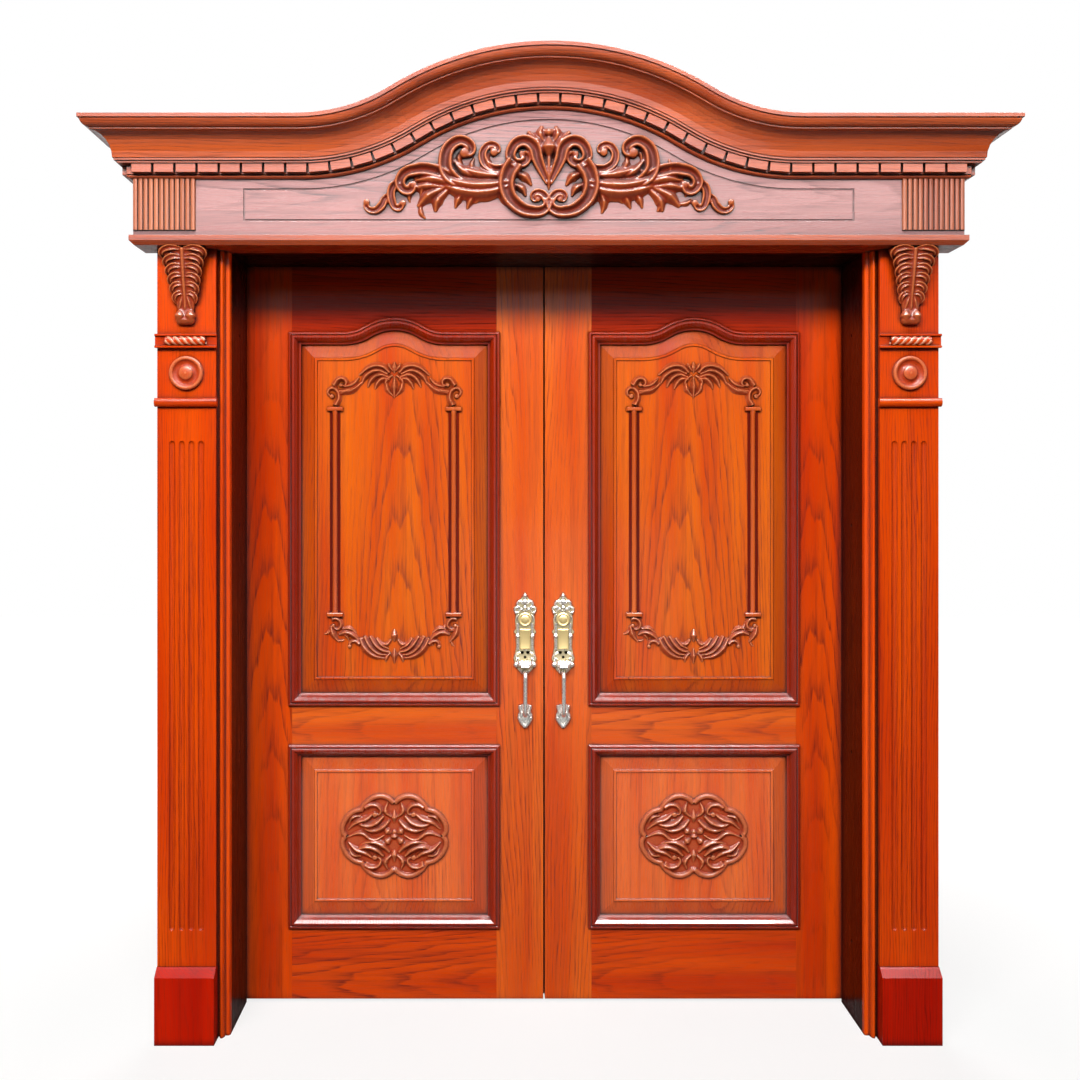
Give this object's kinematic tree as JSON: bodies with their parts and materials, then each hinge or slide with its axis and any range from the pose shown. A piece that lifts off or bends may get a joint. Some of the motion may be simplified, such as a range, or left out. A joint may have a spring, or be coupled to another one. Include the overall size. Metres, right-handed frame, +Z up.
{
  "type": "double front door with surround",
  "caption": "Panelled double front door in a rebated frame, with fluted pilasters, carved corbels and frieze under an arched dentil crown; the leaves swing inward.",
  "frame": {"origin": "on the floor at the middle of the doorway, in the middle of the whole depth", "axes": "+X to the right seen from outside, +Y into the building, +Z up"},
  "size_m": [2.504, 0.575, 2.717],
  "materials": {
    "leaf_wood": "red-brown stain under gloss lacquer",
    "surround_wood": "red-brown stain under gloss lacquer",
    "jamb_wood": "red-brown stain under gloss lacquer",
    "carved_wood": "red-brown stain, darker in the hollows, under gloss lacquer",
    "hinge_brass": "satin brass",
    "handle_pewter": "antique silver with dark hollows",
    "lock_steel": "plain zinc-plated steel",
    "seal_rubber": "matt"
  },
  "bodies": {
    "frame": {"jamb_left": "jamb_wood", "jamb_right": "jamb_wood", "head_jamb": "jamb_wood", "weather_seal": "seal_rubber", "casings": "surround_wood", "pilasters": "surround_wood", "plinths": "surround_wood", "plain_bands": "surround_wood", "rope_bands": "surround_wood", "rosettes": "carved_wood", "corbels": "carved_wood", "shelf_board": "surround_wood", "frieze_board": "surround_wood", "frieze_ends": "surround_wood", "reeded_blocks": "surround_wood", "frieze_carving": "carved_wood", "dentil_course": "surround_wood", "crown_moulding": "surround_wood", "crown_cap": "surround_wood", "crown_cover": "surround_wood", "frame_hinge_plates": "hinge_brass", "hinge_pins": "hinge_brass"},
    "left_leaf": {"left_hanging_stile": "leaf_wood", "left_meeting_stile": "leaf_wood", "left_top_rail": "leaf_wood", "left_lock_rail": "leaf_wood", "left_bottom_rail": "leaf_wood", "left_upper_panel": "leaf_wood", "left_lower_panel": "leaf_wood", "left_mouldings": "leaf_wood", "left_garland": "carved_wood", "left_medallion": "carved_wood", "left_hinge_plates": "hinge_brass", "left_handle_plate": "handle_pewter", "left_grip": "handle_pewter", "left_inside_trim": "handle_pewter", "strike_plate": "hinge_brass", "bolt_plates": "hinge_brass"},
    "right_leaf": {"right_hanging_stile": "leaf_wood", "right_meeting_stile": "leaf_wood", "right_top_rail": "leaf_wood", "right_lock_rail": "leaf_wood", "right_bottom_rail": "leaf_wood", "right_upper_panel": "leaf_wood", "right_lower_panel": "leaf_wood", "right_mouldings": "leaf_wood", "right_garland": "carved_wood", "right_medallion": "carved_wood", "right_hinge_plates": "hinge_brass", "right_handle_plate": "handle_pewter", "right_grip": "handle_pewter", "right_inside_plate": "handle_pewter", "lock_case": "lock_steel"},
    "thumb_piece": {"thumb_piece": "handle_pewter"},
    "inside_knob": {"inside_knob": "handle_pewter"},
    "latch_bolt": {"latch_bolt": "lock_steel"},
    "turn_piece": {"turn_piece": "handle_pewter"},
    "dead_bolt": {"dead_bolt": "lock_steel"},
    "top_bolt": {"top_bolt": "hinge_brass"},
    "bottom_bolt": {"bottom_bolt": "hinge_brass"}
  },
  "joints": [
    {"name": "left_leaf_swing", "type": "hinge", "parent": "frame", "child": "left_leaf", "pos_m": [-0.9025, 0.2275, 1.1], "axis": [0, 0, 1], "range_deg": [0, 110]},
    {"name": "right_leaf_swing", "type": "hinge", "parent": "frame", "child": "right_leaf", "pos_m": [0.9025, 0.2275, 1.1], "axis": [0, 0, -1], "range_deg": [0, 110]},
    {"name": "knob_turn", "type": "hinge", "parent": "right_leaf", "child": "inside_knob", "pos_m": [0.057, 0.2395, 1.001], "axis": [0, 1, 0], "range_deg": [-60, 0]},
    {"name": "thumb_press", "type": "hinge", "parent": "right_leaf", "child": "thumb_piece", "pos_m": [0.057, 0.167, 1.008], "axis": [1, 0, 0], "range_deg": [-15, 0]},
    {"name": "latch_slide", "type": "slide", "parent": "right_leaf", "child": "latch_bolt", "axis": [-1, 0, 0], "range_m": [0, 0.012]},
    {"name": "turn_lock", "type": "hinge", "parent": "right_leaf", "child": "turn_piece", "pos_m": [0.057, 0.2395, 1.145], "axis": [0, 1, 0], "range_deg": [0, 90]},
    {"name": "dead_bolt_slide", "type": "slide", "parent": "right_leaf", "child": "dead_bolt", "axis": [-1, 0, 0], "range_m": [0, 0.02]},
    {"name": "top_bolt_slide", "type": "slide", "parent": "left_leaf", "child": "top_bolt", "axis": [0, 0, 1], "range_m": [0, 0.015]},
    {"name": "bottom_bolt_slide", "type": "slide", "parent": "left_leaf", "child": "bottom_bolt", "axis": [0, 0, -1], "range_m": [0, 0.015]}
  ],
  "couplings": [
    {"joint": "thumb_press", "follows": "knob_turn", "ratio": 0.25},
    {"joint": "latch_slide", "follows": "knob_turn", "m_per_rad": -0.011459},
    {"joint": "turn_lock", "follows": "dead_bolt_slide", "rad_per_m": 78.542}
  ]
}
